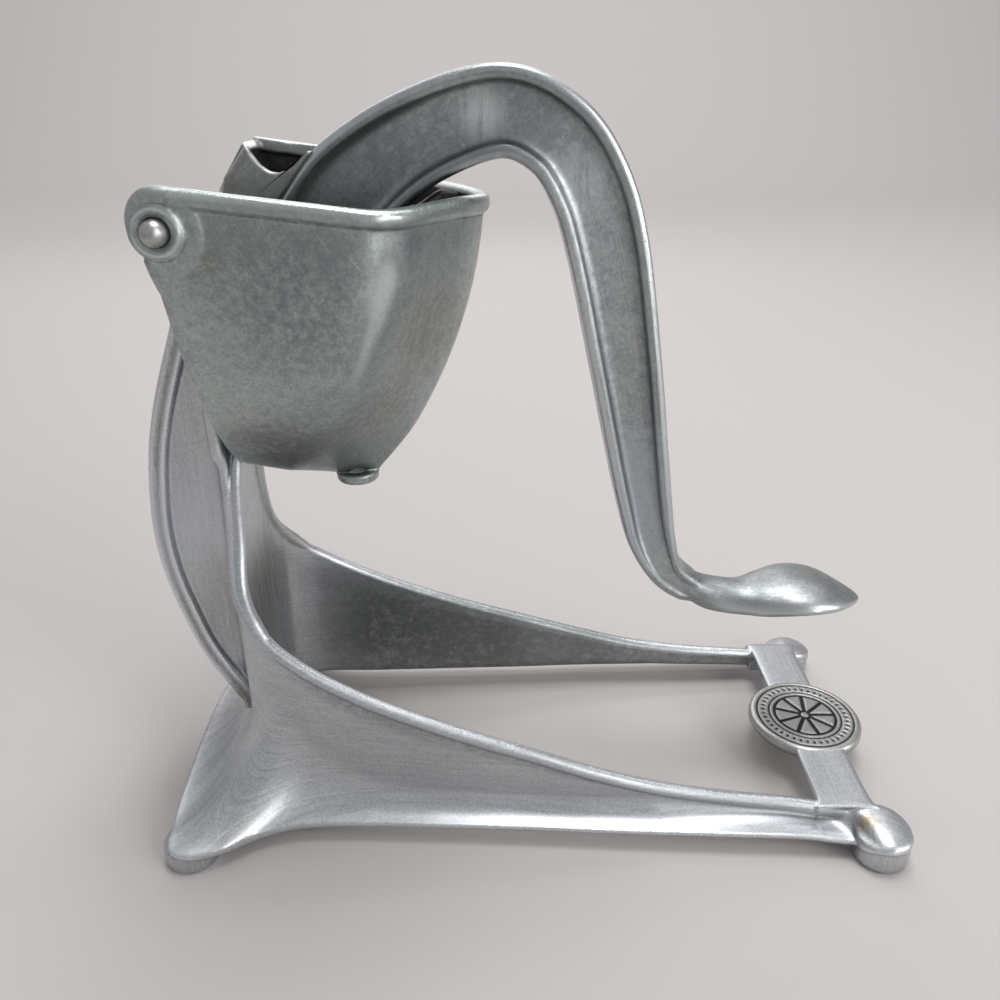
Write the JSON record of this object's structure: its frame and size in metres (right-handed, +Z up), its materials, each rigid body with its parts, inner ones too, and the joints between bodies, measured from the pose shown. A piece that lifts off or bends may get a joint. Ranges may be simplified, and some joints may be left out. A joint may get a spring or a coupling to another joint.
{
  "type": "hinged lemon squeezer",
  "caption": "Cast aluminium hinged lemon squeezer: a scoop cup on a column over a frame with side rails, and a long curved lever that turns a ribbed pressing head into the cup.",
  "frame": {"origin": "on the table, under the middle of the bounding box", "axes": "+X to the front of the stand, where the medallion is; +Y to the far side in the picture; +Z up"},
  "size_m": [0.2211, 0.1084, 0.208],
  "materials": {
    "cast_stand": "aged cast aluminium, brushed along the rails",
    "cast_cup": "aged cast aluminium, mottled and stained",
    "cast_presser": "aged cast aluminium, dull",
    "cast_lever": "aged cast aluminium, hand-polished edges",
    "strainer": "plain sheet",
    "rivets": "worn rivet heads",
    "pin": "turned, with domed ends"
  },
  "bodies": {
    "base": {"stand": "cast_stand", "juice_cup": "cast_cup", "cup_rivets": "rivets", "hinge_pin": "pin", "strainer": "strainer"},
    "lever": {"lever_arm": "cast_lever", "presser": "cast_presser", "lever_rivets": "rivets"}
  },
  "joints": [
    {"name": "lever_hinge", "type": "hinge", "parent": "base", "child": "lever", "pos_m": [-0.0822, 0, 0.175], "axis": [0, -1, 0], "range_deg": [0, 100]}
  ]
}
